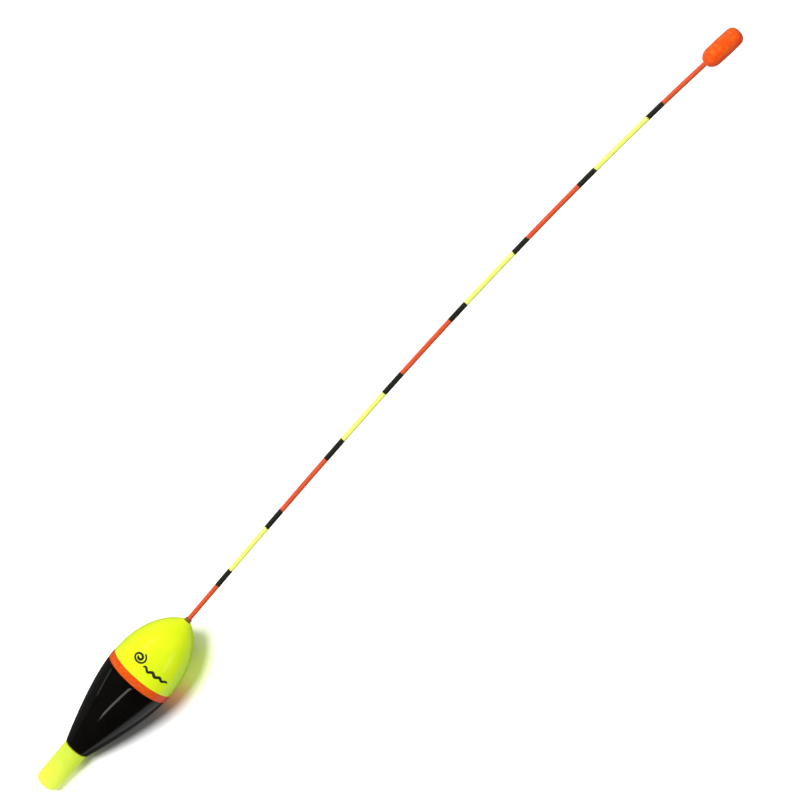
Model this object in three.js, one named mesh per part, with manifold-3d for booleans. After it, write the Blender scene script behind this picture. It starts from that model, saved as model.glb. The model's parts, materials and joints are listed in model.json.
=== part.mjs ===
// A weighted antenna float for fishing. It lies on the floor on its tail and its belly, with the antenna rising.
// Millimetres, +Z up. Every piece is made about the float's own axis, where "along" is the distance from the
// tail's end towards the antenna's tip, and the finished float is then tipped and set down on the floor.
import * as THREE from "three";
import { mergeVertices } from "three/addons/utils/BufferGeometryUtils.js";
import Module from "manifold-3d";

const wasm = await Module();
wasm.setup();

// Outside of the float, along its axis.
const TAIL_END_RADIUS = 4.2;
const TAIL_ROOT_RADIUS = 4.4;
const TAIL_ROUNDING = 2.6;
const TAIL_FLAT_RADIUS = 1.7;
const CONE_START = 17;
const NECK_OUTER_RADIUS = 4.5;
const CONE_CURVE_END = 48;
const BAND_START = 49.2;
const BAND_END = 52;
const BAND_RADIUS = 12.25;
const SHELL_RADIUS = 12.1;
const SHELL_WALL = 0.85;
const DOME_HEIGHT = 24;
const DOME_POWER = 2.27;
const DOME_BLUNTNESS = 1.4;
const APEX = 75.6;

// Antenna and bead.
const ROD_RADIUS = 0.9;
const ROD_LENGTH = 255.2;
const ROD_LEAN = 3.5;
const ROD_BEND = 11.3;
const ROD_BEND_POWER = 2.7;
const BEAD_LENGTH = 15.2;
const BEAD_RADIUS = 3.4;
const BEAD_BORE_DEPTH = 9.2;
const BEAD_WALL = 0.85;

// Inside the cone.
const GAP = 0.3;
const NECK_BORE_RADIUS = 3.9;
const NECK_BORE_END = 22.8;
const PEG_RADIUS = 3;
const PEG_START = 5.4;
const PLUG_START = 13.2;
const PLUG_RADIUS = 3.55;
const PLUG_END = 23;
const GROOVE_START = 19.5;
const GROOVE_END = 21;
const GROOVE_RADIUS = 2.9;
const O_RING_RADIUS = 3.42;
const O_RING_THICKNESS = 0.8;
const PIN_RADIUS = 1;
const PIN_START = 18.5;
const PIN_END = 44.3;
const PIN_HOLE_RADIUS = 1.25;
const DISC_COUNT = 5;
const DISC_RADIUS = 3.6;
const DISC_THICKNESS = 3;
const WASHER_RADIUS = 3;
const WASHER_THICKNESS = 1;
const NUT_RADIUS = 2.4;
const NUT_THICKNESS = 2.2;

// Inside the dome.
const SLEEVE_RADIUS = 10.75;
const SLEEVE_WALL = 0.5;
const SLEEVE_REACH = 2.6;
const WEB_RADIUS = 9.4;
const WEB_START = 49.4;
const WEB_THICKNESS = 1;
const WEB_HOLES = 6;
const WEB_HOLE_RADIUS = 1.9;
const WEB_HOLE_CIRCLE = 6.4;
const SOCKET_RADIUS = 2;
const SOCKET_BORE_RADIUS = 1.45;
const SOCKET_START = 52;
const SOCKET_FLOOR = 57.4;
const SOCKET_END = 72.6;
const FERRULE_RADIUS = 1.2;
const FERRULE_BORE_RADIUS = 1;
const FERRULE_END = 76.7;
const GROMMET_RADIUS = 1.65;
const GROMMET_BORE_RADIUS = 1.33;

// Line hole through the tail's solid end, level and across the float.
const LINE_HOLE_AT = 3.1;
const LINE_HOLE_RADIUS = 0.8;

// Number of flats round the big shells and round the small pieces.
const SHELL_SIDES = 32;
const SMALL_SIDES = 24;
const ROD_SIDES = 10;
const ROD_STEPS = 52;

const YELLOW = { color: 0xe4f82a, roughness: 0.25, metalness: 0 };
const ORANGE = { color: 0xff5108, roughness: 0.3, metalness: 0 };
const BLACK = { color: 0x0a0806, roughness: 0.12, metalness: 0 };
const DARK_RUBBER = { color: 0x1c1a18, roughness: 0.8, metalness: 0 };
const BROWN = { color: 0x4a2a18, roughness: 0.5, metalness: 0 };
const BRASS = { color: 0xc9a24a, roughness: 0.3, metalness: 1 };
const NATURAL = { color: 0xe8e6dc, roughness: 0.45, metalness: 0 };

function piece(name, geometry, finish) {
  const mesh = new THREE.Mesh(geometry, new THREE.MeshStandardMaterial(finish));
  mesh.name = name;
  return mesh;
}

// A solid of revolution about +X from [along, radius] points. One flat faces straight down.
function turned(outline, sides) {
  const points = outline.map(([along, radius]) => new THREE.Vector2(radius, along));
  const geometry = new THREE.LatheGeometry(points, sides, Math.PI / sides, 2 * Math.PI);
  return geometry.rotateZ(-Math.PI / 2);
}

// A tube or washer between two radii and two places along the axis.
function ring(start, end, outer, bore, sides) {
  return turned([[start, bore], [start, outer], [end, outer], [end, bore], [start, bore]], sides);
}

function toSolid(geometry) {
  const bare = geometry.clone();
  bare.deleteAttribute("normal");
  bare.deleteAttribute("uv");
  const merged = mergeVertices(bare, 1e-4);
  const mesh = new wasm.Mesh({
    numProp: 3,
    vertProperties: merged.attributes.position.array,
    triVerts: new Uint32Array(merged.index.array),
  });
  return new wasm.Manifold(mesh);
}

function toGeometry(solid) {
  const mesh = solid.getMesh();
  const geometry = new THREE.BufferGeometry();
  geometry.setAttribute("position", new THREE.BufferAttribute(mesh.vertProperties, 3));
  geometry.setIndex(new THREE.BufferAttribute(mesh.triVerts, 1));
  geometry.computeVertexNormals();
  return geometry;
}

function drilled(geometry, tools) {
  const solid = tools.reduce((left, tool) => left.subtract(toSolid(tool)), toSolid(geometry));
  return toGeometry(solid);
}

// Points of a quarter ellipse from its end on the axis side to its widest place.
function rounding(start, depth, innerRadius, outerRadius, steps) {
  return Array.from({ length: steps + 1 }, (_, i) => {
    const angle = (i / steps) * (Math.PI / 2);
    const along = start + depth * (1 - Math.cos(angle));
    return [along, innerRadius + (outerRadius - innerRadius) * Math.sin(angle)];
  });
}

function curvePoints(from, control, to, steps) {
  const curve = new THREE.QuadraticBezierCurve(
    new THREE.Vector2(...from), new THREE.Vector2(...control), new THREE.Vector2(...to));
  return curve.getPoints(steps).map((point) => [point.x, point.y]);
}

// A quarter of a superellipse: from its widest place up to the given end radius.
function domePoints(base, height, radius, endRadius, steps) {
  const last = Math.acos((endRadius / radius) ** (1 / DOME_BLUNTNESS));
  return Array.from({ length: steps + 1 }, (_, i) => {
    const angle = (i / steps) * last;
    const along = base + height * Math.sin(angle) ** (2 / DOME_POWER);
    return [along, radius * Math.cos(angle) ** DOME_BLUNTNESS];
  });
}

const tailOutside = rounding(0, TAIL_ROUNDING, TAIL_FLAT_RADIUS, TAIL_END_RADIUS, 5);
const coneOutside = curvePoints([17.8, 4.75], [37, 11.2], [CONE_CURVE_END, SHELL_RADIUS - 0.02], 10);

function tailCap() {
  const mouth = CONE_START - GAP;
  const outline = [
    [0, 0],
    ...tailOutside,
    [mouth, TAIL_ROOT_RADIUS],
    [mouth, PLUG_RADIUS + GAP],
    [PLUG_START - GAP, PLUG_RADIUS + GAP],
    [PLUG_START - GAP, PEG_RADIUS + GAP],
    [PEG_START - GAP, PEG_RADIUS + GAP],
    [PEG_START - GAP, 0],
  ];
  const drill = new THREE.CylinderGeometry(LINE_HOLE_RADIUS, LINE_HOLE_RADIUS, 4 * TAIL_ROOT_RADIUS, 12);
  drill.translate(LINE_HOLE_AT, 0, 0);
  return drilled(turned(outline, SHELL_SIDES), [drill]);
}

function tailPlug() {
  const chamfer = 0.4;
  return turned([
    [PEG_START, 0],
    [PEG_START, PEG_RADIUS - chamfer],
    [PEG_START + chamfer, PEG_RADIUS],
    [PLUG_START, PEG_RADIUS],
    [PLUG_START, PLUG_RADIUS],
    [GROOVE_START, PLUG_RADIUS],
    [GROOVE_START, GROOVE_RADIUS],
    [GROOVE_END, GROOVE_RADIUS],
    [GROOVE_END, PLUG_RADIUS],
    [PLUG_END - chamfer, PLUG_RADIUS],
    [PLUG_END, PLUG_RADIUS - chamfer],
    [PLUG_END, PIN_HOLE_RADIUS],
    [PIN_START - GAP, PIN_HOLE_RADIUS],
    [PIN_START - GAP, 0],
  ], SMALL_SIDES);
}

function plugORing() {
  const ringAt = (GROOVE_START + GROOVE_END) / 2;
  const sides = 8;
  const outline = Array.from({ length: sides + 1 }, (_, i) => {
    const angle = -(i / sides) * 2 * Math.PI;
    const out = (O_RING_THICKNESS / 2) * Math.cos(angle);
    return [ringAt - (O_RING_THICKNESS / 2) * Math.sin(angle), O_RING_RADIUS + out];
  });
  return turned(outline, SHELL_SIDES);
}

function weightPin() {
  const chamfer = 0.3;
  return turned([
    [PIN_START, 0],
    [PIN_START, PIN_RADIUS - chamfer],
    [PIN_START + chamfer, PIN_RADIUS],
    [PIN_END - chamfer, PIN_RADIUS],
    [PIN_END, PIN_RADIUS - chamfer],
    [PIN_END, 0],
  ], 16);
}

const discStart = (index) => PLUG_END + GAP + index * (DISC_THICKNESS + GAP);
const washerStart = discStart(DISC_COUNT);
const nutStart = washerStart + WASHER_THICKNESS + GAP;

function ballastDisc(index) {
  const chamfer = 0.25;
  const start = discStart(index);
  const end = start + DISC_THICKNESS;
  return turned([
    [start, PIN_HOLE_RADIUS],
    [start, DISC_RADIUS - chamfer],
    [start + chamfer, DISC_RADIUS],
    [end - chamfer, DISC_RADIUS],
    [end, DISC_RADIUS - chamfer],
    [end, PIN_HOLE_RADIUS],
    [start, PIN_HOLE_RADIUS],
  ], SMALL_SIDES);
}

function pinNut() {
  const shape = new THREE.Shape();
  for (let corner = 0; corner < 6; corner += 1) {
    const angle = (corner / 6) * 2 * Math.PI;
    const point = [NUT_RADIUS * Math.cos(angle), NUT_RADIUS * Math.sin(angle)];
    if (corner === 0) shape.moveTo(...point);
    else shape.lineTo(...point);
  }
  shape.closePath();
  const hole = new THREE.Path().absarc(0, 0, PIN_HOLE_RADIUS, 0, 2 * Math.PI, true);
  shape.holes.push(hole);
  const geometry = new THREE.ExtrudeGeometry(shape, {
    depth: NUT_THICKNESS, bevelEnabled: false, curveSegments: 8,
  });
  return geometry.rotateY(Math.PI / 2).translate(nutStart, 0, 0);
}

function bottomShell() {
  const end = BAND_START - GAP;
  const inside = curvePoints(
    [CONE_CURVE_END, SHELL_RADIUS - SHELL_WALL], [36, 10.75], [NECK_BORE_END, NECK_BORE_RADIUS], 7);
  return turned([
    [CONE_START, NECK_BORE_RADIUS],
    [CONE_START, NECK_OUTER_RADIUS - 0.2],
    [CONE_START + 0.2, NECK_OUTER_RADIUS],
    ...coneOutside,
    [end, SHELL_RADIUS],
    [end, SHELL_RADIUS - SHELL_WALL],
    ...inside,
    [CONE_START, NECK_BORE_RADIUS],
  ], SHELL_SIDES);
}

function jointRing() {
  const edge = 0.25;
  const sleeveStart = BAND_START - SLEEVE_REACH;
  const sleeveEnd = BAND_END + SLEEVE_REACH;
  return turned([
    [sleeveStart, SLEEVE_RADIUS - SLEEVE_WALL],
    [sleeveStart, SLEEVE_RADIUS],
    [BAND_START, SLEEVE_RADIUS],
    [BAND_START, BAND_RADIUS - edge],
    [BAND_START + edge, BAND_RADIUS],
    [BAND_END - edge, BAND_RADIUS],
    [BAND_END, BAND_RADIUS - edge],
    [BAND_END, SLEEVE_RADIUS],
    [sleeveEnd, SLEEVE_RADIUS],
    [sleeveEnd, SLEEVE_RADIUS - SLEEVE_WALL],
    [sleeveStart, SLEEVE_RADIUS - SLEEVE_WALL],
  ], SHELL_SIDES);
}

function topShell() {
  const base = BAND_END + GAP;
  const holeRadius = GROMMET_RADIUS + 0.15;
  const outside = domePoints(BAND_END, DOME_HEIGHT, SHELL_RADIUS, holeRadius + 0.1, 12);
  const inside = domePoints(BAND_END, DOME_HEIGHT - 1.7, SHELL_RADIUS - SHELL_WALL, holeRadius, 9);
  outside[0] = [base, SHELL_RADIUS];
  inside[0] = [base, SHELL_RADIUS - SHELL_WALL];
  const top = outside[outside.length - 1][0];
  return turned([...outside, [top, holeRadius], ...inside.reverse(), outside[0]], SHELL_SIDES);
}

function bulkhead() {
  const bossEnd = 56;
  const bossRadius = SOCKET_RADIUS + 1.2;
  const web = turned([
    [WEB_START, 0],
    [WEB_START, WEB_RADIUS],
    [WEB_START + WEB_THICKNESS, WEB_RADIUS],
    [WEB_START + WEB_THICKNESS, bossRadius],
    [bossEnd, bossRadius],
    [bossEnd, SOCKET_RADIUS + GAP],
    [SOCKET_START - GAP, SOCKET_RADIUS + GAP],
    [SOCKET_START - GAP, 0],
  ], SMALL_SIDES);
  const drills = Array.from({ length: WEB_HOLES }, (_, i) => {
    const angle = (i / WEB_HOLES) * 2 * Math.PI;
    const drill = new THREE.CylinderGeometry(WEB_HOLE_RADIUS, WEB_HOLE_RADIUS, 4 * WEB_THICKNESS, 12);
    drill.rotateZ(Math.PI / 2);
    return drill.translate(WEB_START, WEB_HOLE_CIRCLE * Math.cos(angle), WEB_HOLE_CIRCLE * Math.sin(angle));
  });
  return drilled(web, drills);
}

function antennaSocket() {
  return turned([
    [SOCKET_START, 0],
    [SOCKET_START, SOCKET_RADIUS],
    [SOCKET_END, SOCKET_RADIUS],
    [SOCKET_END, SOCKET_BORE_RADIUS],
    [SOCKET_FLOOR, SOCKET_BORE_RADIUS],
    [SOCKET_FLOOR, 0],
  ], SMALL_SIDES);
}

function antennaFerrule() {
  const start = SOCKET_FLOOR + GAP;
  return turned([
    [start, 0],
    [start, FERRULE_RADIUS],
    [FERRULE_END - 0.15, FERRULE_RADIUS],
    [FERRULE_END, FERRULE_RADIUS - 0.12],
    [FERRULE_END, FERRULE_BORE_RADIUS],
    [start + 0.7, FERRULE_BORE_RADIUS],
    [start + 0.7, 0],
  ], 16);
}

// Sideways place of the rod's middle at a distance above the apex: a slight lean, then a growing bend.
const rodOffset = (above) =>
  ROD_LEAN * (above / ROD_LENGTH) - ROD_BEND * (above / ROD_LENGTH) ** ROD_BEND_POWER;

const rodEndSlope = (ROD_LEAN - ROD_BEND_POWER * ROD_BEND) / ROD_LENGTH;

// The rod's line: straight in the ferrule, bent over its free length, straight again inside the bead.
class RodLine extends THREE.Curve {
  constructor(start, freeEnd, end) {
    super();
    this.start = start;
    this.freeEnd = freeEnd;
    this.end = end;
  }

  getPoint(share, target = new THREE.Vector3()) {
    const along = this.start + share * (this.end - this.start);
    const above = Math.max(0, Math.min(along, this.freeEnd) - APEX);
    const past = Math.max(0, along - this.freeEnd);
    return target.set(along, rodOffset(above) + past * rodEndSlope, 0);
  }
}

function antennaRod() {
  const freeEnd = APEX + ROD_LENGTH;
  const line = new RodLine(SOCKET_FLOOR + GAP + 1, freeEnd, freeEnd + BEAD_BORE_DEPTH - 0.5);
  const section = new THREE.Shape().absarc(0, 0, ROD_RADIUS, 0, 2 * Math.PI, false);
  return new THREE.ExtrudeGeometry(section, {
    steps: ROD_STEPS, curveSegments: ROD_SIDES / 2, extrudePath: line, bevelEnabled: false,
  });
}

// The bead is turned about its own axis, which follows the rod's end. It is hollow, with a tube that grips the rod
// and is open into the hollow at its inner end.
function sightBead() {
  const boreRadius = ROD_RADIUS + 0.12;
  const tubeRadius = boreRadius + 0.5;
  const hollowRadius = BEAD_RADIUS - BEAD_WALL;
  const hollowStart = 2.2;
  const hollowEnd = BEAD_LENGTH - 1.1;
  const topRounding = 2.7;
  const top = rounding(0, topRounding, 0.7, BEAD_RADIUS - 0.1, 4)
    .map(([depth, radius]) => [BEAD_LENGTH - depth, radius])
    .reverse();
  const outside = turned([
    [0, 0],
    [0, 1.5],
    [0.5, 2.05],
    [1.4, 2.95],
    [2.7, BEAD_RADIUS - 0.1],
    [BEAD_LENGTH / 2, BEAD_RADIUS],
    ...top,
    [BEAD_LENGTH, 0],
  ], SMALL_SIDES);
  const hollow = turned([
    [-1, 0],
    [-1, boreRadius],
    [BEAD_BORE_DEPTH, boreRadius],
    [BEAD_BORE_DEPTH, tubeRadius],
    [hollowStart, tubeRadius],
    [hollowStart, hollowRadius],
    [hollowEnd - 1.6, hollowRadius],
    [hollowEnd, 1],
    [hollowEnd, 0],
  ], SMALL_SIDES);
  return drilled(outside, [hollow]);
}

const bead = piece("sight_bead", sightBead(), ORANGE);
bead.position.set(APEX + ROD_LENGTH, rodOffset(ROD_LENGTH), 0);
bead.rotation.z = Math.atan(rodEndSlope);

const float = new THREE.Group();
float.add(
  piece("tail_cap", tailCap(), YELLOW),
  piece("tail_plug", tailPlug(), BRASS),
  piece("plug_o_ring", plugORing(), DARK_RUBBER),
  piece("weight_pin", weightPin(), BRASS),
  piece("cushion_washer",
    ring(washerStart, washerStart + WASHER_THICKNESS, WASHER_RADIUS, PIN_HOLE_RADIUS, SMALL_SIDES), DARK_RUBBER),
  piece("pin_nut", pinNut(), BRASS),
  piece("bottom_shell", bottomShell(), BLACK),
  piece("joint_ring", jointRing(), ORANGE),
  piece("bulkhead", bulkhead(), NATURAL),
  piece("top_shell", topShell(), YELLOW),
  piece("antenna_socket", antennaSocket(), NATURAL),
  piece("antenna_grommet", ring(73, 75.5, GROMMET_RADIUS, GROMMET_BORE_RADIUS, SMALL_SIDES), YELLOW),
  piece("antenna_ferrule", antennaFerrule(), BROWN),
  piece("antenna_rod", antennaRod(), ORANGE),
  bead,
);
for (let index = 0; index < DISC_COUNT; index += 1) {
  float.add(piece(`ballast_disc_${index + 1}`, ballastDisc(index), BRASS));
}

// How far an outline reaches below the tail's end when the float is tipped by an angle.
function reachBelow(outline, angle) {
  const heights = outline.map(([along, radius]) => radius * Math.cos(angle) - along * Math.sin(angle));
  return Math.max(...heights);
}

// The tilt at which the tail and the belly of the cone touch the floor together.
function restingTilt() {
  let low = 0;
  let high = Math.PI / 4;
  for (let step = 0; step < 40; step += 1) {
    const middle = (low + high) / 2;
    if (reachBelow(coneOutside, middle) > reachBelow(tailOutside, middle)) low = middle;
    else high = middle;
  }
  return low;
}

float.rotation.y = -restingTilt();

// The origin is on the floor, under the middle of the float's box.
const part = new THREE.Group();
part.add(float);
part.updateMatrixWorld(true);
const box = new THREE.Box3().setFromObject(part, true);
const middle = box.getCenter(new THREE.Vector3());
float.position.set(-middle.x, -middle.y, -box.min.z);

export default part;
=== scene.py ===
"""Looks of an antenna bobber float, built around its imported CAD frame.

The float is turned about one axis, which rises from the tail to the antenna. Pieces are modelled in the
float's own coordinates, in millimetres: x along the axis from the tail's end, y across, z away from the
floor. OWN moves them into the row frame, in metres.
"""
import json
import math

import bpy
from mathutils import Matrix, Vector

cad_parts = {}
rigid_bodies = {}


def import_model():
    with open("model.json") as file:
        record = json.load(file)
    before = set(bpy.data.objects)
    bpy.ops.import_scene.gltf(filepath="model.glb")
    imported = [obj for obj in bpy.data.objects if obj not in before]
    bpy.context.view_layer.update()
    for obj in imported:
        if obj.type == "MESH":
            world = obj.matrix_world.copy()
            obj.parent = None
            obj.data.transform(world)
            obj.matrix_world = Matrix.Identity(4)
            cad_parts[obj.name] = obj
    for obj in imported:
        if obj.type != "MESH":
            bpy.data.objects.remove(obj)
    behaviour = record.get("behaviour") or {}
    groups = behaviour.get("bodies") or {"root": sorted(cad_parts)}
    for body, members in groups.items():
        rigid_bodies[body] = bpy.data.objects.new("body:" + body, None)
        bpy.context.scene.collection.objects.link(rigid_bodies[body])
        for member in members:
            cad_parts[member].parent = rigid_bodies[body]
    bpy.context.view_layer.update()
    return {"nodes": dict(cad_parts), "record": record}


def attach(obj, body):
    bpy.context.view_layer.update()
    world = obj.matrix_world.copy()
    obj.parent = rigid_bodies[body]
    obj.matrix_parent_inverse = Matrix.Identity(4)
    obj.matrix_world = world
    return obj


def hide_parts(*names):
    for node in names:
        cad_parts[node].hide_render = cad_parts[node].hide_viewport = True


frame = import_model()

# --------------------------------------------------------------------------------------------------
# Driving dimensions, in millimetres along the float's axis or out from it
# --------------------------------------------------------------------------------------------------
MM = 0.001
SHELL_SIDES = 144
SMALL_SIDES = 72
ROD_SIDES = 28

# Tail cap.
TAIL_ROUNDING = 2.6
TAIL_FLAT_RADIUS = 1.7
TAIL_END_RADIUS = 4.2
TAIL_ROOT_RADIUS = 4.4
LINE_HOLE_AT = 3.1
LINE_HOLE_RADIUS = 0.8
# Room between the cap and the plug.
TAIL_PLAY = 0.25

# Shells, the ring between them and the bulkhead's web. The cone's curves have control points (along, radius).
CONE_CURVE_END = 48
BAND_START = 49.2
BAND_END = 52
SEAM = 0.04
SHELL_WALL = 0.85
NECK_OUTER_RADIUS = 4.5
NECK_BORE_RADIUS = 3.9
NECK_BORE_END = 22.8
CONE_CONTROL = (37, 11.2)
CONE_INSIDE_CONTROL = (36, 10.75)
DOME_HEIGHT = 24
DOME_POWER = 2.27
DOME_BLUNTNESS = 1.4
DOME_HOLE_RADIUS = 1.8
SLEEVE_RADIUS = 10.75
SLEEVE_WALL = 0.5
WEB_THICKNESS = 1
WEB_HOLES = 6
WEB_HOLE_RADIUS = 1.9
WEB_HOLE_CIRCLE = 6.4

# Ballast insert. A barb is one of the ridges that hold the cap on the peg.
PEG_RADIUS = 3
PEG_BARBS = 3
BARB_PITCH = 1.7
SHOULDER = 13.2
GROOVE_START = 19.5
GROOVE_END = 21
GROOVE_RADIUS = 2.9
O_RING_RADIUS = 3.42
O_RING_THICKNESS = 0.8
PIN_HOLE_RADIUS = 1.25
THREAD_PITCH = 0.5
THREAD_DEPTH = 0.14
DISC_COUNT = 5
DISC_CHAMFER = 0.28

# Antenna and bead.
APEX = 75.6
ROD_RADIUS = 0.9
ROD_LENGTH = 255.2
ROD_LEAN = 3.5
ROD_BEND = 11.3
ROD_BEND_POWER = 2.7
ROD_GRIP_IN_BEAD = 8.7
PAINT_STEP = 0.035
BEAD_LENGTH = 15.2
BEAD_RADIUS = 3.4
BEAD_WALL = 0.85
BEAD_BORE_DEPTH = 9.2
# Where each black band of the antenna starts and ends above the apex.
BLACK_BANDS = [(15.2, 22.7), (41.2, 49.4), (72.6, 81.7), (102.0, 111.1),
               (135.0, 143.0), (166.3, 173.3), (197.1, 204.4), (228.4, 235.6)]


# --------------------------------------------------------------------------------------------------
# The float's own coordinates, read from the frame
# --------------------------------------------------------------------------------------------------
def own_matrix():
    """Own coordinates in millimetres to the row frame in metres."""
    end = next(mount for mount in frame["record"]["mounts"] if mount["name"] == "tail_end")
    along = -Vector(end["axis"]).normalized()
    across = Vector((0, 1, 0))
    away = along.cross(across)
    turn = Matrix((along, across, away)).transposed().to_4x4()
    return Matrix.Translation(end["pos_m"]) @ turn @ Matrix.Scale(MM, 4)


OWN = own_matrix()


def span(node):
    """(start, end, largest radius) of a CAD node about the float's axis."""
    back = OWN.inverted()
    points = [back @ vertex.co for vertex in frame["nodes"][node].data.vertices]
    places = [point.x for point in points]
    return min(places), max(places), max(math.hypot(point.y, point.z) for point in points)


# --------------------------------------------------------------------------------------------------
# Outlines: lists of (along, radius)
# --------------------------------------------------------------------------------------------------
def bezier(start, control, end, steps):
    a, b, c = Vector(start), Vector(control), Vector(end)
    shares = [i / steps for i in range(steps + 1)]
    return [tuple(a.lerp(b, share).lerp(b.lerp(c, share), share)) for share in shares]


def quarter_round(start, depth, inner, outer, steps=14):
    """A quarter ellipse from radius inner at start to radius outer at start + depth."""
    angles = [math.pi / 2 * i / steps for i in range(steps + 1)]
    return [(start + depth * (1 - math.cos(a)), inner + (outer - inner) * math.sin(a)) for a in angles]


def dome_outline(base, height, radius, end_radius, steps):
    """A quarter of a superellipse from its widest place up to end_radius."""
    last = math.acos((end_radius / radius) ** (1 / DOME_BLUNTNESS))
    angles = [last * i / steps for i in range(steps + 1)]
    return [(base + height * math.sin(a) ** (2 / DOME_POWER), radius * math.cos(a) ** DOME_BLUNTNESS)
            for a in angles]


def filleted(outline, size=0.25, steps=3):
    """The outline with its corners rounded. Ends that lie on the axis stay where they are."""
    closed = outline[0] == outline[-1]
    points = [Vector(point) for point in (outline[:-1] if closed else outline)]
    result = []
    for i, corner in enumerate(points):
        before, after = points[i - 1], points[(i + 1) % len(points)]
        at_end = not closed and i in (0, len(points) - 1)
        if at_end or (corner - before).angle(after - corner, 0) < math.radians(14):
            result.append(tuple(corner))
            continue
        start = corner + (before - corner).normalized() * min(size, (before - corner).length * 0.45)
        end = corner + (after - corner).normalized() * min(size, (after - corner).length * 0.45)
        result += bezier(start, corner, end, steps)
    return result + [result[0]] if closed else result


# --------------------------------------------------------------------------------------------------
# Meshes
# --------------------------------------------------------------------------------------------------
def make_object(name, vertices, faces, material, matrix=OWN, sharp_degrees=35):
    mesh = bpy.data.meshes.new(name)
    mesh.from_pydata([matrix @ Vector(vertex) for vertex in vertices], [], faces)
    mesh.materials.append(material)
    for polygon in mesh.polygons:
        polygon.use_smooth = True
    mesh.validate()
    mesh.set_sharp_from_angle(angle=math.radians(sharp_degrees))
    thing = bpy.data.objects.new(name, mesh)
    bpy.context.scene.collection.objects.link(thing)
    return thing


def rows_to_faces(rows, closed):
    """Faces between neighbouring rows of vertex numbers. A row with one number is a point on the axis."""
    sides = max(len(row) for row in rows)
    faces = []
    pairs = list(zip(rows, rows[1:])) + ([(rows[-1], rows[0])] if closed else [])
    for low, high in pairs:
        for i in range(sides):
            j = i + 1
            corners = [high[i % len(high)], high[j % len(high)], low[j % len(low)], low[i % len(low)]]
            face = [corner for k, corner in enumerate(corners) if corner != corners[k - 1]]
            if len(face) > 2:
                faces.append(face)
    return faces


def turned(name, outline, material, sides=SMALL_SIDES, matrix=OWN, shape=None):
    """A solid of revolution. Its outline ends on the axis, or its last point is its first.
    shape(along, radius, angle) gives the radius of a vertex that isn't on the axis."""
    closed = outline[0] == outline[-1]
    vertices, rows = [], []
    for along, radius in outline[:-1] if closed else outline:
        count = sides if radius > 1e-6 else 1
        rows.append(range(len(vertices), len(vertices) + count))
        for i in range(count):
            angle = 2 * math.pi * i / sides
            wide = shape(along, radius, angle) if shape and count > 1 else radius
            vertices.append((along, wide * math.sin(angle), wide * math.cos(angle)))
    return make_object(name, vertices, rows_to_faces(rows, closed), material, matrix)


def drilled(thing, drills):
    """Cuts cylinders out of a piece. Each drill is (matrix, radius, depth), as deep along its own z."""
    for matrix, radius, depth in drills:
        bpy.ops.mesh.primitive_cylinder_add(vertices=48, radius=radius * MM, depth=depth * MM)
        tool = bpy.context.object
        tool.matrix_world = matrix
        cut = thing.modifiers.new("hole", "BOOLEAN")
        cut.object = tool
        cut.solver = "EXACT"
        bpy.context.view_layer.objects.active = thing
        bpy.ops.object.modifier_apply(modifier=cut.name)
        bpy.data.objects.remove(tool)
    for polygon in thing.data.polygons:
        polygon.use_smooth = True
    thing.data.set_sharp_from_angle(angle=math.radians(35))
    return thing


def hole_matrix(along, across, away, turn_degrees, turn_axis):
    """Where a drill stands: a point in own coordinates, and how its length is turned away from z."""
    place = Matrix.Translation(OWN @ Vector((along, across, away)))
    return place @ OWN.to_quaternion().to_matrix().to_4x4() @ Matrix.Rotation(
        math.radians(turn_degrees), 4, turn_axis)


def settle(thing, body, slot, *nodes):
    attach(thing, body)
    if nodes:
        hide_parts(*nodes)


# --------------------------------------------------------------------------------------------------
# Materials
# --------------------------------------------------------------------------------------------------
def colour(code):
    """A hex colour as linear red, green and blue."""
    parts = [int(code[i:i + 2], 16) / 255 for i in (0, 2, 4)]
    return tuple(p / 12.92 if p <= 0.04045 else ((p + 0.055) / 1.055) ** 2.4 for p in parts)


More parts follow.
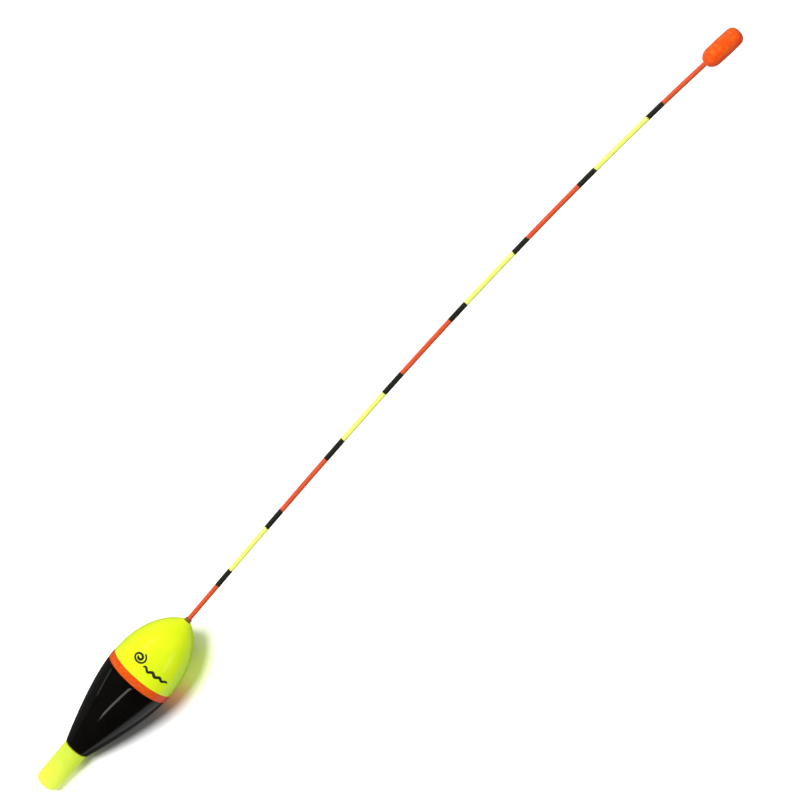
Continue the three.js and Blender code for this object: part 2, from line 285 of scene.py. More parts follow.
class Surface:
    """A material with a Principled shader, and short calls for the nodes that the surfaces below use."""

    def __init__(self, name, **sockets):
        self.material = bpy.data.materials.new(name)
        self.material.use_nodes = True
        self.nodes = self.material.node_tree.nodes
        self.links = self.material.node_tree.links
        self.shader = self.nodes["Principled BSDF"]
        self.bump = None
        self.own = self.own_coordinates()
        for socket, value in sockets.items():
            is_colour = socket.endswith(("Color", "Tint"))
            self.shader.inputs[socket.replace("_", " ")].default_value = (*value, 1) if is_colour else value

    def node(self, kind, **settings):
        node = self.nodes.new(kind)
        for key, value in settings.items():
            setattr(node, key, value)
        return node

    def own_coordinates(self):
        """The float's own coordinates in millimetres, as a vector output."""
        place = self.node("ShaderNodeTexCoord").outputs["Object"]
        turn = self.node("ShaderNodeVectorRotate", rotation_type="Y_AXIS")
        turn.inputs["Angle"].default_value = -OWN.to_euler().y
        self.links.new(place, turn.inputs["Vector"])
        mapping = self.node("ShaderNodeMapping")
        mapping.inputs["Scale"].default_value = (1 / MM,) * 3
        mapping.inputs["Location"].default_value = OWN.inverted() @ Vector((0, 0, 0))
        self.links.new(turn.outputs["Vector"], mapping.inputs["Vector"])
        return mapping.outputs["Vector"]

    def maths(self, operation, *values):
        node = self.node("ShaderNodeMath", operation=operation)
        for socket, value in zip(node.inputs, values):
            if isinstance(value, (int, float)):
                socket.default_value = value
            else:
                self.links.new(value, socket)
        return node.outputs[0]

    def axis(self, letter):
        split = self.node("ShaderNodeSeparateXYZ")
        self.links.new(self.own, split.inputs["Vector"])
        return split.outputs[letter]

    def noise(self, size_mm, detail=3, squeeze=(1, 1, 1), vector=None):
        """Noise with features about size_mm across, drawn out along an axis where squeeze is under 1."""
        scaled = self.node("ShaderNodeVectorMath", operation="MULTIPLY")
        self.links.new(vector or self.own, scaled.inputs[0])
        scaled.inputs[1].default_value = [part / size_mm for part in squeeze]
        texture = self.node("ShaderNodeTexNoise")
        texture.inputs["Scale"].default_value = 1
        texture.inputs["Detail"].default_value = detail
        self.links.new(scaled.outputs["Vector"], texture.inputs["Vector"])
        return texture.outputs["Fac"]

    def ranged(self, value, low, high, from_low=0.35, from_high=0.65):
        node = self.node("ShaderNodeMapRange", clamp=True)
        self.links.new(value, node.inputs["Value"])
        limits = {"From Min": from_low, "From Max": from_high, "To Min": low, "To Max": high}
        for socket, number in limits.items():
            node.inputs[socket].default_value = number
        return node.outputs["Result"]

    def mixed(self, factor, first, second):
        node = self.node("ShaderNodeMix", data_type="RGBA")
        self.links.new(factor, node.inputs["Factor"])
        for socket, value in ((node.inputs[6], first), (node.inputs[7], second)):
            if isinstance(value, tuple):
                socket.default_value = (*value, 1)
            else:
                self.links.new(value, socket)
        return node.outputs[2]

    def set(self, socket, output):
        self.links.new(output, self.shader.inputs[socket])

    def raised(self, height, depth_mm, strength=1.0):
        """Adds a bump of about depth_mm."""
        node = self.node("ShaderNodeBump")
        node.inputs["Strength"].default_value = strength
        node.inputs["Distance"].default_value = depth_mm * MM
        self.links.new(height, node.inputs["Height"])
        if self.bump:
            self.links.new(self.bump, node.inputs["Normal"])
        self.bump = node.outputs["Normal"]
        self.set("Normal", self.bump)


def fluorescent(name, light, deep, painted_glow, gloss, soft_mm, **sockets):
    """Dyed plastic that scatters light inside, with a painted glow (emission) that stands in for fluorescence
    and lifts its shaded side: cloudy colour, moulding ripple, fine texture.
    """
    surface = Surface(
        name, Emission_Color=painted_glow, Emission_Strength=1, Subsurface_Weight=0.4,
        Subsurface_Radius=(1.0, 0.8, 0.2), Subsurface_Scale=soft_mm * MM, **sockets)
    clouds = surface.noise(7, detail=2)
    surface.set("Base Color", surface.mixed(surface.ranged(clouds, 0, 1), light, deep))
    surface.set("Roughness", surface.ranged(surface.noise(1.6), gloss - 0.04, gloss + 0.07))
    surface.raised(surface.noise(3.5, detail=1), 0.02, 0.5)
    surface.raised(surface.noise(0.25, detail=2), 0.004, 0.4)
    return surface


def dome_yellow():
    # Painted glow: the green-yellow emission stands in for fluorescence and lifts the dome's shaded side.
    return fluorescent("dome_yellow", (0.46, 0.43, 0.01), (0.41, 0.41, 0.008), (0.15, 0.35, 0.0), 0.2, 1.2,
                       Coat_Weight=0.5, Coat_Roughness=0.08)


def tail_yellow():
    """Fluorescent rubber with a painted glow: the emission is strongest at the cap's end and weaker towards
    its root, and lifts the cap's shaded side.
    """
    surface = fluorescent("tail_yellow", (0.26, 0.26, 0.02), (0.22, 0.25, 0.03), (0.4, 0.6, 0.05), 0.38, 3)
    surface.shader.inputs["Subsurface Weight"].default_value = 0.8
    # Painted glow: the emission fades over the first 17 mm from the cap's end.
    along = surface.ranged(surface.axis("X"), 0, 1, 0, 17)
    surface.set("Emission Color", surface.mixed(along, (0.62, 0.74, 0.07), (0.3, 0.46, 0.02)))
    return surface


def band_orange():
    # Painted glow: the orange emission stands in for fluorescence and lifts the band's shaded side.
    return fluorescent("band_orange", (0.33, 0.07, 0.005), (0.3, 0.045, 0.003), (0.31, 0.008, 0.0), 0.24, 0.5,
                       Coat_Weight=0.5, Coat_Roughness=0.08)


def bead_orange():
    """Sprayed plastic: blotchy orange with a soft orange-peel surface, and a painted orange glow (emission).
    """
    surface = Surface(
        "bead_orange", Emission_Color=(0.24, 0.012, 0), Emission_Strength=1, Subsurface_Weight=0.3,
        Subsurface_Radius=(1.0, 0.3, 0.1), Subsurface_Scale=0.8 * MM, Coat_Weight=0.2, Coat_Roughness=0.25)
    blotches = surface.ranged(surface.noise(1.7, detail=4), 0, 1, 0.42, 0.6)
    surface.set("Base Color", surface.mixed(blotches, (0.45, 0.045, 0.002), (0.42, 0.085, 0.008)))
    surface.set("Roughness", surface.ranged(surface.noise(0.9), 0.3, 0.46))
    surface.raised(surface.noise(0.6, detail=3), 0.03, 0.6)
    return surface


def gloss_black():
    """Black lacquer: a little orange peel, fine handling scratches along the cone."""
    surface = Surface("gloss_black", Coat_Weight=0.5, Coat_Roughness=0.03, IOR=1.45)
    surface.set("Base Color", surface.mixed(surface.ranged(surface.noise(9, detail=2), 0, 1),
                                            (0.0012, 0.001, 0.0007), (0.0022, 0.0018, 0.0013)))
    scratches = surface.noise(0.35, detail=2, squeeze=(0.06, 1, 1))
    worn = surface.ranged(scratches, 0, 0.12, 0.62, 0.72)
    surface.set("Roughness", surface.maths("ADD", worn, surface.ranged(surface.noise(2.5), 0.06, 0.1)))
    surface.raised(surface.noise(1.6, detail=1), 0.008, 0.3)
    surface.raised(scratches, 0.002, 0.2)
    return surface


def antenna_paint():
    """Sprayed bands on the rod: orange and yellow in turn between black ones, with slightly ragged edges, and
    a faint painted glow (emission) in each band's own colour.
    """
    surface = Surface("antenna_paint", Emission_Strength=0.1, Coat_Weight=0.5, Coat_Roughness=0.12)
    wobble = surface.ranged(surface.noise(0.5, detail=3), -0.22, 0.22)
    above = surface.maths("ADD", surface.maths("SUBTRACT", surface.axis("X"), APEX), wobble)
    ramp = surface.node("ShaderNodeValToRGB")
    ramp.color_ramp.interpolation = "CONSTANT"
    surface.links.new(surface.maths("DIVIDE", above, ROD_LENGTH), ramp.inputs["Fac"])
    bright = [(0.47, 0.06, 0.018), (0.6, 0.68, 0.12)]
    black = (0.012, 0.012, 0.008)
    stops = [(0, bright[0])]
    for number, (start, end) in enumerate(BLACK_BANDS):
        stops += [(start, black), (end, bright[(number + 1) % 2])]
    elements = ramp.color_ramp.elements
    elements.remove(elements[1])
    for number, (place, paint) in enumerate(stops):
        element = elements[0] if number == 0 else elements.new(place / ROD_LENGTH)
        element.color = (*paint, 1)
    streaks = surface.ranged(surface.noise(0.8, squeeze=(0.3, 1, 1)), 0.86, 1)
    shaded = surface.node("ShaderNodeMix", data_type="RGBA", blend_type="MULTIPLY")
    shaded.inputs["Factor"].default_value = 1
    surface.links.new(ramp.outputs["Color"], shaded.inputs[6])
    surface.links.new(streaks, shaded.inputs[7])
    surface.set("Base Color", shaded.outputs[2])
    # Painted glow: each band emits a little of its own colour.
    surface.set("Emission Color", ramp.outputs["Color"])
    surface.set("Roughness", surface.ranged(surface.noise(1.1), 0.22, 0.38))
    surface.raised(surface.noise(0.6, detail=2, squeeze=(0.3, 1, 1)), 0.015, 0.5)
    return surface


def plain(name, light, deep, rough, cloud_mm, grain_mm, grain_depth_mm, **sockets):
    """A moulded or cut surface: two close tones, uneven gloss and a fine grain."""
    surface = Surface(name, **sockets)
    surface.set("Base Color", surface.mixed(surface.ranged(surface.noise(cloud_mm), 0, 1), light, deep))
    surface.set("Roughness", surface.ranged(surface.noise(cloud_mm / 2), rough[0], rough[1]))
    surface.raised(surface.noise(grain_mm), grain_depth_mm, 0.6)
    return surface


def ferrule_brown():
    return plain("ferrule_brown", (0.2, 0.09, 0.015), (0.13, 0.055, 0.012), (0.38, 0.55), 0.8, 0.2, 0.01)


def seal_rubber():
    return plain("seal_rubber", colour("17161a"), colour("232126"), (0.5, 0.7), 1, 0.15, 0.01)


def natural_plastic():
    return plain("natural_plastic", colour("ece9dd"), colour("e0dccb"), (0.36, 0.5), 4, 0.3, 0.008,
                 Subsurface_Weight=0.2, Subsurface_Radius=(1, 0.9, 0.7), Subsurface_Scale=0.8 * MM)


def print_black():
    return plain("print_black", colour("1c1c10"), colour("2c2b14"), (0.4, 0.6), 0.5, 0.12, 0.004)


def brass():
    """Turned brass: fine tool marks round the axis and warm tarnish in patches."""
    surface = Surface("brass", Metallic=1.0)
    squares = [surface.maths("MULTIPLY", surface.axis(letter), surface.axis(letter)) for letter in "YZ"]
    radius = surface.maths("SQRT", surface.maths("ADD", *squares))
    turning = surface.node("ShaderNodeCombineXYZ")
    surface.links.new(surface.axis("X"), turning.inputs["X"])
    surface.links.new(radius, turning.inputs["Y"])
    marks = surface.noise(0.11, vector=turning.outputs["Vector"])
    tarnish = surface.ranged(surface.noise(2.2, detail=4), 0, 1, 0.45, 0.7)
    surface.set("Base Color", surface.mixed(tarnish, colour("dcb35c"), colour("b98d3e")))
    surface.set("Roughness", surface.ranged(marks, 0.26, 0.42))
    surface.raised(marks, 0.004, 0.5)
    return surface


def make_materials():
    makers = [dome_yellow, tail_yellow, band_orange, bead_orange, gloss_black, antenna_paint, ferrule_brown,
              seal_rubber, natural_plastic, print_black, brass]
    return {maker.__name__: maker().material for maker in makers}


# --------------------------------------------------------------------------------------------------
# Tail and ballast insert
# --------------------------------------------------------------------------------------------------
def tail_cap(materials):
    _, mouth, _ = span("tail_cap")
    peg_start, _, plug_radius = span("tail_plug")
    outline = [(0, 0), *quarter_round(0, TAIL_ROUNDING, TAIL_FLAT_RADIUS, TAIL_END_RADIUS),
               (mouth, TAIL_ROOT_RADIUS), (mouth, plug_radius + TAIL_PLAY),
               (SHOULDER - TAIL_PLAY, plug_radius + TAIL_PLAY),
               (SHOULDER - TAIL_PLAY, PEG_RADIUS + TAIL_PLAY),
               (peg_start - TAIL_PLAY, PEG_RADIUS + TAIL_PLAY), (peg_start - TAIL_PLAY, 0)]
    cap = turned("tail_cap_rubber", filleted(outline), materials["tail_yellow"], SHELL_SIDES)
    drilled(cap, [(hole_matrix(LINE_HOLE_AT, 0, 0, 90, "X"), LINE_HOLE_RADIUS, 14)])
    settle(cap, "tail", "tail_yellow", "tail_cap")


def tail_plug(materials):
    """Brass plug: a barbed peg for the cap, a shoulder, a groove for the seal and a hole for the pin."""
    start, end, radius = span("tail_plug")
    pin_start, _, _ = span("weight_pin")
    outline = [(start, 0), (start, PEG_RADIUS - 0.5)]
    for barb in range(PEG_BARBS):
        foot = start + 0.5 + barb * BARB_PITCH
        outline += [(foot, PEG_RADIUS - 0.25), (foot + 1.3, PEG_RADIUS + 0.12),
                    (foot + 1.45, PEG_RADIUS - 0.2)]
    outline += [(SHOULDER, PEG_RADIUS - 0.2), (SHOULDER, radius), (GROOVE_START, radius),
                (GROOVE_START, GROOVE_RADIUS), (GROOVE_END, GROOVE_RADIUS), (GROOVE_END, radius),
                (end - 0.4, radius), (end, radius - 0.4), (end, PIN_HOLE_RADIUS),
                (pin_start - 0.3, PIN_HOLE_RADIUS), (pin_start - 0.3, 0)]
    plug = turned("tail_plug_brass", filleted(outline, 0.08), materials["brass"])
    settle(plug, "ballast_insert", "brass", "tail_plug")


def plug_o_ring(materials):
    start, end, _ = span("plug_o_ring")
    middle, thick = (start + end) / 2, O_RING_THICKNESS / 2
    steps = 20
    angles = [-2 * math.pi * i / steps for i in range(steps)]
    outline = [(middle - thick * math.sin(a), O_RING_RADIUS + thick * math.cos(a)) for a in angles]
    seal = turned("plug_o_ring_seal", [*outline, outline[0]], materials["seal_rubber"], SHELL_SIDES)
    settle(seal, "ballast_insert", "seal_rubber", "plug_o_ring")


def weight_pin(materials):
    """Threaded brass pin. The thread is one groove that winds along the outline's fine steps."""
    start, end, radius = span("weight_pin")
    steps = round((end - start) / THREAD_PITCH * 6)
    body = [(start + (end - start) * i / steps, radius) for i in range(steps + 1)]

    def thread(along, wide, angle):
        phase = ((along - start) / THREAD_PITCH - angle / (2 * math.pi)) % 1
        fade = max(0, min(1, (along - start) / 0.6, (end - along) / 0.6))
        return wide - THREAD_DEPTH * fade * abs(2 * phase - 1) - 0.2 * (1 - fade)

    pin = turned("weight_pin_thread", [(start, 0), *body, (end, 0)], materials["brass"], 36, shape=thread)
    settle(pin, "ballast_insert", "brass", "weight_pin")


def ballast_disc(materials, number):
    """Turned disc with chamfered rims and a shallow recess in its far face."""
    node = f"ballast_disc_{number}"
    start, end, radius = span(node)
    outline = [(start, PIN_HOLE_RADIUS + 0.15), (start, radius - DISC_CHAMFER),
               (start + DISC_CHAMFER, radius), (end - DISC_CHAMFER, radius),
               (end, radius - DISC_CHAMFER), (end, radius - 0.75),
               (end - 0.18, radius - 0.95), (end - 0.18, PIN_HOLE_RADIUS + 0.15),
               (end - 0.33, PIN_HOLE_RADIUS), (start + 0.15, PIN_HOLE_RADIUS)]
    disc = turned(f"{node}_turned", filleted([*outline, outline[0]], 0.06), materials["brass"])
    settle(disc, "ballast_insert", "brass", node)


def cushion_washer(materials):
    start, end, radius = span("cushion_washer")
    outline = [(start, PIN_HOLE_RADIUS), (start, radius), (end, radius), (end, PIN_HOLE_RADIUS),
               (start, PIN_HOLE_RADIUS)]
    washer = turned("cushion_washer_rubber", filleted(outline, 0.3, 5), materials["seal_rubber"])
    settle(washer, "ballast_insert", "seal_rubber", "cushion_washer")


def pin_nut(materials):
    """Hex nut: six flats cut out of a turned blank whose corners are chamfered at both ends."""
    start, end, corner = span("pin_nut")
    flat = corner * math.cos(math.pi / 6)
    outline = [(start, PIN_HOLE_RADIUS + 0.2), (start, flat), (start + 0.25, corner), (end - 0.25, corner),
               (end, flat), (end, PIN_HOLE_RADIUS + 0.2), (end - 0.2, PIN_HOLE_RADIUS),
               (start + 0.2, PIN_HOLE_RADIUS), (start, PIN_HOLE_RADIUS + 0.2)]

    def hexagon(along, radius, angle):
        beside = (angle - math.pi / 6) % (math.pi / 3) - math.pi / 6
        return min(radius, flat / math.cos(beside)) if radius > PIN_HOLE_RADIUS + 0.3 else radius

    nut = turned("pin_nut_hex", outline, materials["brass"], shape=hexagon)
    settle(nut, "ballast_insert", "brass", "pin_nut")


# --------------------------------------------------------------------------------------------------
# Body of the float
# --------------------------------------------------------------------------------------------------
def bottom_shell(materials):
    start, _, radius = span("bottom_shell")
    end = BAND_START - SEAM
    outside = bezier((start + 0.8, 4.75), CONE_CONTROL, (CONE_CURVE_END, radius - 0.02), 60)
    outside += [(end, radius), (end, radius - SHELL_WALL)]
    inside = bezier(
        (CONE_CURVE_END, radius - SHELL_WALL), CONE_INSIDE_CONTROL, (NECK_BORE_END, NECK_BORE_RADIUS), 30)
    lip = [(start, NECK_BORE_RADIUS), (start, NECK_OUTER_RADIUS - 0.2),
           (start + 0.25, NECK_OUTER_RADIUS + 0.02)]
    cone = turned("bottom_shell_lacquered", filleted([*lip, *outside, *inside, lip[0]], 0.18),
                  materials["gloss_black"], SHELL_SIDES)
    settle(cone, "float_body", "gloss_black", "bottom_shell")


def joint_ring(materials):
    """Orange ring: a rounded face a hair proud of both shells, and sleeves that reach into them."""
    sleeve_start, sleeve_end, radius = span("joint_ring")
    rim = span("bottom_shell")[2] - 0.02
    start, end = BAND_START, BAND_END
    low = SLEEVE_RADIUS - SLEEVE_WALL
    face = [(start + (end - start) * i / 16, rim + (radius - rim) * (1 - (i / 8 - 1) ** 6))
            for i in range(17)]
    outline = [(sleeve_start, low), (sleeve_start, SLEEVE_RADIUS), (start, SLEEVE_RADIUS), *face,
               (end, SLEEVE_RADIUS), (sleeve_end, SLEEVE_RADIUS), (sleeve_end, low), (sleeve_start, low)]
    band = turned("joint_ring_band", filleted(outline, 0.1), materials["band_orange"], SHELL_SIDES)
    settle(band, "float_body", "band_orange", "joint_ring")


def bulkhead(materials):
    start, end, radius = span("bulkhead")
    socket_start, _, socket_radius = span("antenna_socket")
    boss, face = socket_radius + 1.2, start + WEB_THICKNESS
    outline = [(start, 0), (start, radius), (face, radius), (face, boss), (end, boss),
               (end, socket_radius + 0.25), (socket_start - 0.25, socket_radius + 0.25),
               (socket_start - 0.25, 0)]
    disc = turned("bulkhead_web", filleted(outline, 0.3), materials["natural_plastic"])
    drills = []
    for i in range(WEB_HOLES):
        angle = 2 * math.pi / WEB_HOLES * i
        across, away = WEB_HOLE_CIRCLE * math.cos(angle), WEB_HOLE_CIRCLE * math.sin(angle)
        drills.append((hole_matrix(start, across, away, 90, "Y"), WEB_HOLE_RADIUS, 6 * WEB_THICKNESS))
    drilled(disc, drills)
    settle(disc, "float_body", "natural_plastic", "bulkhead")


def top_shell(materials):
    _, end, radius = span("top_shell")
    start, base = BAND_END + SEAM, BAND_END
    outside = dome_outline(base, DOME_HEIGHT, radius, DOME_HOLE_RADIUS + 0.1, 72)
    inside = dome_outline(base, DOME_HEIGHT - 1.7, radius - SHELL_WALL, DOME_HOLE_RADIUS, 36)
    outside[0] = (start, radius)
    inside[0] = (start, radius - SHELL_WALL)
    outline = [*outside, (end, DOME_HOLE_RADIUS), *inside[::-1], outside[0]]
    shell = turned("top_shell_dome", filleted(outline, 0.15), materials["dome_yellow"], SHELL_SIDES)
    settle(shell, "float_body", "dome_yellow", "top_shell")
    return base, radius


def dome_radius(along, base, radius):
    rise = max(0, (along - base) / DOME_HEIGHT) ** (DOME_POWER / 2)
    return radius * (1 - rise ** 2) ** (DOME_BLUNTNESS / 2)


def printed_ribbon(points, base, radius, proud=0.035):
    """Vertices and faces of a thin closed ribbon on the dome. Each point is (along, degrees, half width)."""
    rows, vertices, faces = [], [], []
    for i, (along, degrees, half) in enumerate(points):
        ahead, behind = points[min(i + 1, len(points) - 1)], points[max(i - 1, 0)]
        arc = math.radians(ahead[1] - behind[1]) * dome_radius(along, base, radius)
        slope = Vector((ahead[0] - behind[0], arc)).normalized()
        for side, lift in ((1, -0.02), (1, proud), (-1, proud), (-1, -0.02)):
            place = along - side * half * slope.y
            turn = math.radians(degrees) + side * half * slope.x / dome_radius(along, base, radius)
            out = dome_radius(place, base, radius) + lift
            vertices.append((place, out * math.sin(turn), out * math.cos(turn)))
        rows.append(range(4 * i, 4 * i + 4))
    for low, high in zip(rows, rows[1:]):
        faces += [(low[k], high[k], high[(k + 1) % 4], low[(k + 1) % 4]) for k in range(4)]
    faces += [tuple(rows[0]), tuple(rows[-1])[::-1]]
    return vertices, faces


def ripple_mark(materials, base, radius):
    """A generic printed mark: a curl that runs out into a ripple, like brush strokes."""
    def curl(middle, degrees, inner, outer, turns, width, steps=72):
        arc = math.degrees(1 / dome_radius(middle, base, radius))
        points = []
        for i in range(steps + 1):
            share = i / steps
            across = inner + (outer - inner) * share
            angle = 2 * math.pi * turns * share
            points.append((middle + 0.8 * across * math.sin(angle), degrees + arc * across * math.cos(angle),
                           width / 2 * (1 - 0.4 * share)))
        return points

    def ripple(middle, first, last, waves, height, width, steps=90):
        shares = [i / steps for i in range(steps + 1)]
        return [(middle + height * (1 - 0.5 * s) * math.sin(2 * math.pi * waves * s),
                 first + (last - first) * s,
                 width / 2 * (0.6 + 0.4 * math.sin(math.pi * s))) for s in shares]

    ribbons = [curl(58.2, 20, 0.4, 2.6, -1.7, 0.95), ripple(56.7, 5, -46, 3.5, 0.5, 1.05)]
    vertices, faces = [], []
    for points in ribbons:
        more, sides = printed_ribbon(points, base, radius)
        faces += [tuple(len(vertices) + corner for corner in face) for face in sides]
        vertices += more
    mark = make_object("top_shell_ripple_print", vertices, faces, materials["print_black"])
    settle(mark, "float_body", "dome_yellow")


def antenna_socket(materials):
    start, end, radius = span("antenna_socket")
    floor = span("antenna_ferrule")[0] - 0.3
    bore = span("antenna_ferrule")[2] + 0.25
    outline = [(start, 0), (start, radius), (end, radius), (end, bore), (floor, bore), (floor, 0)]
    tube = turned("antenna_socket_tube", filleted(outline, 0.2), materials["natural_plastic"])
    settle(tube, "float_body", "natural_plastic", "antenna_socket")


def antenna_grommet(materials):
    start, end, radius = span("antenna_grommet")
    bore = span("antenna_ferrule")[2] + 0.13
    outline = [(start, bore), (start, radius), (end, radius), (end, bore), (start, bore)]
    bush = turned("antenna_grommet_bush", filleted(outline, 0.14), materials["dome_yellow"])
    settle(bush, "float_body", "dome_yellow", "antenna_grommet")


# --------------------------------------------------------------------------------------------------
# Antenna and bead
# --------------------------------------------------------------------------------------------------
ROD_END_SLOPE = (ROD_LEAN - ROD_BEND_POWER * ROD_BEND) / ROD_LENGTH


def rod_offset(above):
    """Sideways place of the rod's middle above the apex: a slight lean, a growing bend, then straight."""
    share = min(1, max(0, above / ROD_LENGTH))
    past = max(0, above - ROD_LENGTH)
    return ROD_LEAN * share - ROD_BEND * share ** ROD_BEND_POWER + past * ROD_END_SLOPE


def antenna_ferrule(materials):
    start, end, radius = span("antenna_ferrule")
    bore = ROD_RADIUS + 0.1
    outline = [(start, 0), (start, radius), (end - 0.35, radius), (end, radius - 0.15), (end, bore),
               (start + 0.7, bore), (start + 0.7, 0)]
    sleeve = turned("antenna_ferrule_sleeve", filleted(outline, 0.1), materials["ferrule_brown"])
    settle(sleeve, "antenna", "ferrule_brown", "antenna_ferrule")


def antenna_rod(materials):
    """Rod swept along its bend. The black bands are a second coat, so they stand a little proud."""
    start = span("antenna_ferrule")[0] + 1 - APEX
    end = ROD_LENGTH + ROD_GRIP_IN_BEAD
    places = {start, start + 0.15, end - 0.15, end}
    places.update(start + (end - start) * i / 110 for i in range(1, 110))
    for band in BLACK_BANDS:
        places.update(edge + shift for edge in band for shift in (-0.12, 0.12))
    vertices = [(APEX + start, rod_offset(start), 0)]
    rows = [range(1)]
    for place in sorted(places):
        coat = PAINT_STEP if any(low < place < high for low, high in BLACK_BANDS) else 0
        chamfer = 0.15 if place in (start, end) else 0
        radius = ROD_RADIUS - PAINT_STEP + coat - chamfer
        lean = math.atan((rod_offset(place + 0.1) - rod_offset(place - 0.1)) / 0.2)
        rows.append(range(len(vertices), len(vertices) + ROD_SIDES))
        for i in range(ROD_SIDES):
            angle = 2 * math.pi * i / ROD_SIDES
            out = radius * math.sin(angle)
            vertices.append((APEX + place - out * math.sin(lean), rod_offset(place) + out * math.cos(lean),
                             radius * math.cos(angle)))
    rows.append(range(len(vertices), len(vertices) + 1))
    vertices.append((APEX + end, rod_offset(end), 0))
    rod = make_object("antenna_rod_painted", vertices, rows_to_faces(rows, False), materials["antenna_paint"])
    settle(rod, "antenna", "antenna_paint", "antenna_rod")


def sight_bead(materials):
    """Hollow bead about the rod's end: a domed tip, slightly barrelled sides and a short cone at its foot."""
    bore, tube = ROD_RADIUS + 0.12, ROD_RADIUS + 0.62
    hollow_start, hollow_end, hollow_radius = 2.2, BEAD_LENGTH - 1.1, BEAD_RADIUS - BEAD_WALL
    foot = bezier((0.15, 1.75), (1.35, 3.15), (3.2, BEAD_RADIUS - 0.08), 16)
    tip = [(BEAD_LENGTH - depth, out) for depth, out in quarter_round(0, 2.7, 0.7, BEAD_RADIUS - 0.1)][::-1]
    outline = [(0, bore), (0, 1.5), *foot, (BEAD_LENGTH / 2, BEAD_RADIUS), *tip, (BEAD_LENGTH, 0),
               (hollow_end, 0), (hollow_end, 1), (hollow_end - 1.6, hollow_radius),
               (hollow_start, hollow_radius), (hollow_start, tube), (BEAD_BORE_DEPTH, tube),
               (BEAD_BORE_DEPTH, bore), (0, bore)]
    lean = math.atan(ROD_END_SLOPE)
    foot_place = Matrix.Translation((APEX + ROD_LENGTH, rod_offset(ROD_LENGTH), 0))
    matrix = OWN @ foot_place @ Matrix.Rotation(lean, 4, "Z")
    bead = turned("sight_bead_capsule", outline, materials["bead_orange"], SHELL_SIDES, matrix)
    settle(bead, "tip_bead", "bead_orange", "sight_bead")


# --------------------------------------------------------------------------------------------------
# Floor, lights and camera
# --------------------------------------------------------------------------------------------------
# The paper's brightness as the camera sees it is painted: it stays overexposed under the body and is painted
# dimmer under the thin antenna, which would drown in it. It changes between two places along X.
PAPER_BRIGHTNESS = 0.86
FAR_PAPER_BRIGHTNESS = 0.66
PAPER_CHANGE = (-0.08, -0.04)
PAPER_IN_GLOSS = 0.035
WORLD_LIGHT = 0.16
WORLD_IN_GLOSS = 0.02
SUN_STRENGTH = 6.1
TOWARDS_SUN = (-0.1, 0.46, 1)
SUN_WIDTH_DEGREES = 25
# Streaks along the black cone: name, both ends and width of the strip in metres, what it faces in the float's
# own coordinates, and its radiance.
STRIPS = [("strip_behind_tail", (-0.54, 0.062, 0.308), (-0.35, -0.07, 0.47), 0.045, (40, 0, 11), 1.9),
          ("strip_near_floor", (-0.190, 0.0894, 0.0187), (-0.154, 0.103, 0.0085), 0.006, (43, 8, 8), 0.6)]
SHEET_PLACE = (-0.14, -0.08, 0.001)
SHEET_SIZE = (0.16, 0.11)
SHEET_RADIANCE = 0.3
BRASS_BOXES = 4
BRASS_BOX_SIZE = (1.1, 0.9)
BRASS_BOX_RADIANCE = 1.1
CAMERA_PLACE = (0.007, -0.0049, 1.7)
CAMERA_TURN_DEGREES = -48.87
CAMERA_LENS = 225.7
# Name, place along and across in the row frame and size, in millimetres, and colour.
FLOOR_GLOWS = [("apex_glow", -96.5, -6.5, (9, 8), (0.42, 0.5, 0.27)),
               ("dome_glow", -105, -15.5, (18, 11), (0.42, 0.54, 0.0)),
               ("band_glow", -117.5, -14.5, (9, 7), (0.5, 0.1, 0.0)),
               ("tail_glow", -165, -7, (14, 6), (0.9, 1.0, 0.5))]


def brightness_by_ray(nodes, links, camera, other, glossy):
    """A number that differs for what the camera sees, what lights surfaces and what gloss mirrors. camera is
    an output of another node."""
    path = nodes.new("ShaderNodeLightPath")
    inner = nodes.new("ShaderNodeMix")
    outer = nodes.new("ShaderNodeMix")
    links.new(path.outputs["Is Glossy Ray"], inner.inputs[0])
    inner.inputs[2].default_value = other
    inner.inputs[3].default_value = glossy
    links.new(path.outputs["Is Camera Ray"], outer.inputs[0])
    links.new(inner.outputs[0], outer.inputs[2])
    links.new(camera, outer.inputs[3])
    return outer.outputs[0]


def make_floor():
    bpy.ops.mesh.primitive_plane_add(size=6)
    floor = bpy.context.object
    floor.name = "studio_floor"
    paper = bpy.data.materials.new("floor_paper")
    paper.use_nodes = True
    nodes, links = paper.node_tree.nodes, paper.node_tree.links
    place = nodes.new("ShaderNodeSeparateXYZ")
    links.new(nodes.new("ShaderNodeTexCoord").outputs["Object"], place.inputs["Vector"])
    # Painted dimming: the paper that the camera sees fades from PAPER_BRIGHTNESS to FAR_PAPER_BRIGHTNESS
    # along X.
    fade = nodes.new("ShaderNodeMapRange")
    links.new(place.outputs["X"], fade.inputs["Value"])
    for socket, value in zip(fade.inputs[1:5], (*PAPER_CHANGE, PAPER_BRIGHTNESS, FAR_PAPER_BRIGHTNESS)):
        socket.default_value = value
    grey = brightness_by_ray(nodes, links, fade.outputs["Result"], PAPER_BRIGHTNESS, PAPER_IN_GLOSS)
    shader = nodes["Principled BSDF"]
    shader.inputs["Roughness"].default_value = 0.9
    shader.inputs["Specular IOR Level"].default_value = 0
    links.new(grey, shader.inputs["Base Color"])
    floor.data.materials.append(paper)


def make_world():
    world = bpy.data.worlds.new("studio")
    bpy.context.scene.world = world
    world.use_nodes = True
    nodes, links = world.node_tree.nodes, world.node_tree.links
    white = nodes.new("ShaderNodeValue").outputs[0]
    white.default_value = 1
    strength = brightness_by_ray(nodes, links, white, WORLD_LIGHT, WORLD_IN_GLOSS)
    links.new(strength, nodes["Background"].inputs["Strength"])
    nodes["Background"].inputs["Color"].default_value = (1, 1, 1, 1)


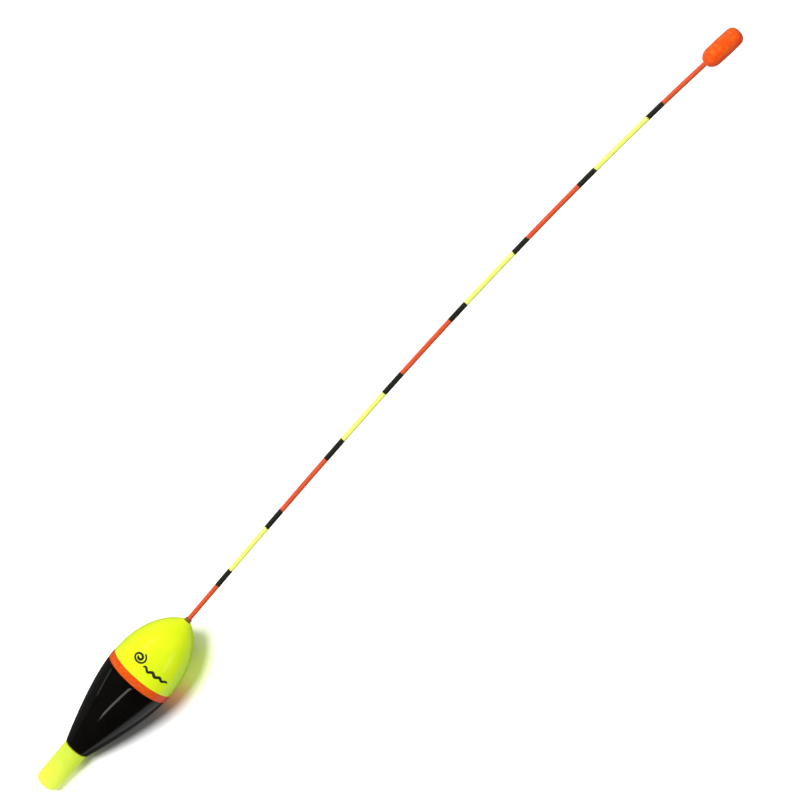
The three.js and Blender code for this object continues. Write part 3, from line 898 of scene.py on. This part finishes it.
def area_light(name, place, target, size, radiance, glossy_only):
    """A rectangle of light that faces target. radiance is how bright it looks in a mirror."""
    data = bpy.data.lights.new(name, "AREA")
    data.shape = "RECTANGLE"
    data.size, data.size_y = size
    data.energy = radiance * math.pi * size[0] * size[1]
    lamp = bpy.data.objects.new(name, data)
    lamp.location = place
    lamp.rotation_euler = (Vector(target) - Vector(place)).to_track_quat("-Z", "Y").to_euler()
    lamp.visible_camera = False
    lamp.visible_diffuse = not glossy_only
    bpy.context.scene.collection.objects.link(lamp)


def strip_light(name, first, last, width, target, radiance):
    """A strip of light between two points. Only gloss mirrors it, so it draws a streak on a shiny surface."""
    first, last, target = Vector(first), Vector(last), Vector(target)
    middle = (first + last) / 2
    area_light(name, middle, target, (width, (last - first).length), radiance, glossy_only=True)
    back = (middle - target).normalized()
    side = (last - first).cross(back).normalized()
    bpy.data.objects[name].rotation_euler = Matrix((side, back.cross(side), back)).transposed().to_euler()


def make_lights():
    sun = bpy.data.lights.new("key_sun", "SUN")
    sun.energy = SUN_STRENGTH
    sun.angle = math.radians(SUN_WIDTH_DEGREES)
    lamp = bpy.data.objects.new("key_sun", sun)
    lamp.rotation_euler = (-Vector(TOWARDS_SUN)).to_track_quat("-Z", "Y").to_euler()
    lamp.visible_glossy = False
    bpy.context.scene.collection.objects.link(lamp)

    for name, first, last, width, target, radiance in STRIPS:
        strip_light(name, first, last, width, OWN @ Vector(target), radiance)
    above = Vector(SHEET_PLACE) + Vector((0, 0, 1))
    area_light("sheet_on_floor", SHEET_PLACE, above, SHEET_SIZE, SHEET_RADIANCE, True)

    # Soft boxes that the camera above never sees mirrored in the cone.
    for side in (-1, 1):
        place = Vector((0.1, 0.8 * side, 0.7))
        area_light(f"soft_box_{side + 1}", place, (-0.12, 0, 0.01), (0.5, 0.2), 1.0, True)

    # Soft boxes that only the brass mirrors, because it would be black between the dark sides of this studio.
    brass_pieces = bpy.data.collections.new("brass_pieces")
    for thing in bpy.context.scene.objects:
        if thing.type == "MESH" and any(name.startswith("brass") for name in thing.data.materials.keys()):
            brass_pieces.objects.link(thing)
    for turn in range(BRASS_BOXES):
        angle = 2 * math.pi / BRASS_BOXES * (turn + 0.5)
        place = Vector((0.8 * math.cos(angle), 0.8 * math.sin(angle), 0.6))
        area_light(f"brass_box_{turn}", place, (-0.15, 0, 0.01), BRASS_BOX_SIZE, BRASS_BOX_RADIANCE, True)
        bpy.data.objects[f"brass_box_{turn}"].light_linking.receiver_collection = brass_pieces

    # Light that the glowing dome, band and tail throw on the floor beside them.
    for name, along, across, size, tint in FLOOR_GLOWS:
        place = Vector((along, across, 4)) * MM
        area_light(name, place, place - Vector((0, 0, 1)), [part * MM for part in size], 1, False)
        bpy.data.lights[name].color = tint


def make_camera():
    """Straight above the float, turned so that the antenna runs to the upper right."""
    data = bpy.data.cameras.new("camera")
    data.sensor_width = 36
    data.lens = CAMERA_LENS
    data.clip_end = 100
    camera = bpy.data.objects.new("camera", data)
    camera.location = CAMERA_PLACE
    camera.rotation_euler = (0, 0, math.radians(CAMERA_TURN_DEGREES))
    bpy.context.scene.collection.objects.link(camera)
    bpy.context.scene.camera = camera


def build():
    materials = make_materials()
    tail_cap(materials)
    tail_plug(materials)
    plug_o_ring(materials)
    weight_pin(materials)
    for number in range(1, DISC_COUNT + 1):
        ballast_disc(materials, number)
    cushion_washer(materials)
    pin_nut(materials)
    bottom_shell(materials)
    joint_ring(materials)
    bulkhead(materials)
    base, radius = top_shell(materials)
    ripple_mark(materials, base, radius)
    antenna_socket(materials)
    antenna_grommet(materials)
    antenna_ferrule(materials)
    antenna_rod(materials)
    sight_bead(materials)
    make_floor()
    make_world()
    make_lights()
    make_camera()
    bpy.context.scene.view_settings.view_transform = "Standard"


build()
